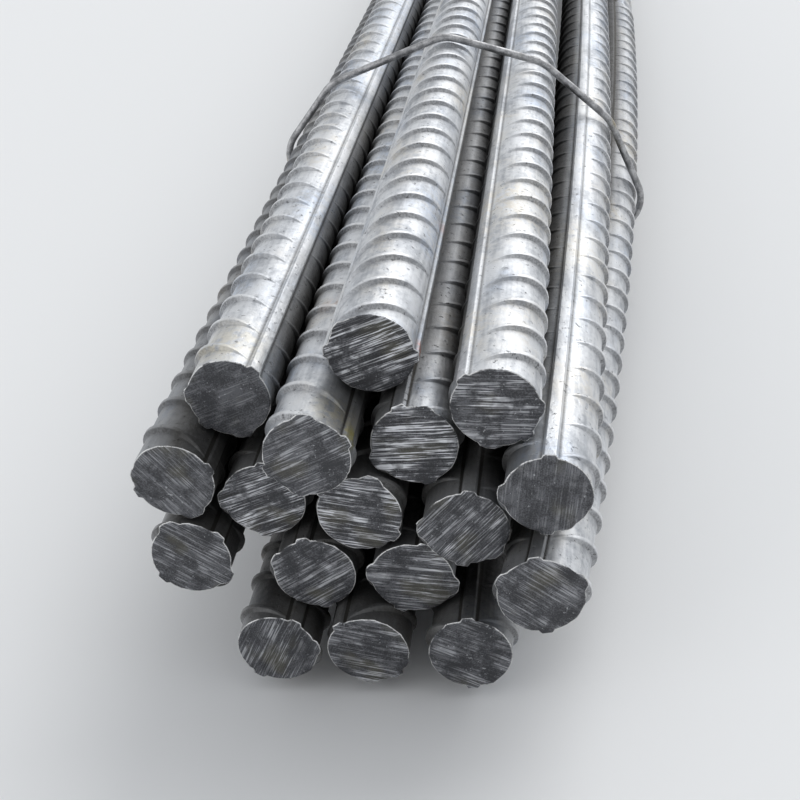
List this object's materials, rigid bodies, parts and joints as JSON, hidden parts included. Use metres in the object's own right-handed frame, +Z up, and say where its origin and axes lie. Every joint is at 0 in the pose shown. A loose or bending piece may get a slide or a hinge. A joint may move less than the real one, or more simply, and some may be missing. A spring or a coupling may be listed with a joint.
{
  "type": "rebar bundle",
  "caption": "Bundle of ribbed steel reinforcing bars stacked in staggered rows, with uneven sawn ends, tied with loops of twisted wire.",
  "frame": {"origin": "middle of the footprint, on the floor that the wire loops lie on", "axes": "+Y along the bars, away from the uneven sawn ends that the picture shows; +X to the right seen from those ends; +Z up"},
  "size_m": [0.1104, 3.019, 0.0788],
  "materials": {
    "rolled_bar": "satin mill scale, blue-grey",
    "tie_wire": "dull annealed wire"
  },
  "bodies": {
    "root": {"bar_01": "rolled_bar", "bar_02": "rolled_bar", "bar_03": "rolled_bar", "bar_04": "rolled_bar", "bar_05": "rolled_bar", "bar_06": "rolled_bar", "bar_07": "rolled_bar", "bar_08": "rolled_bar", "bar_09": "rolled_bar", "bar_10": "rolled_bar", "bar_11": "rolled_bar", "bar_12": "rolled_bar", "bar_13": "rolled_bar", "bar_14": "rolled_bar", "bar_15": "rolled_bar", "bar_16": "rolled_bar", "bar_17": "rolled_bar", "tie_front": "tie_wire", "tie_middle": "tie_wire", "tie_back": "tie_wire"}
  },
  "joints": []
}
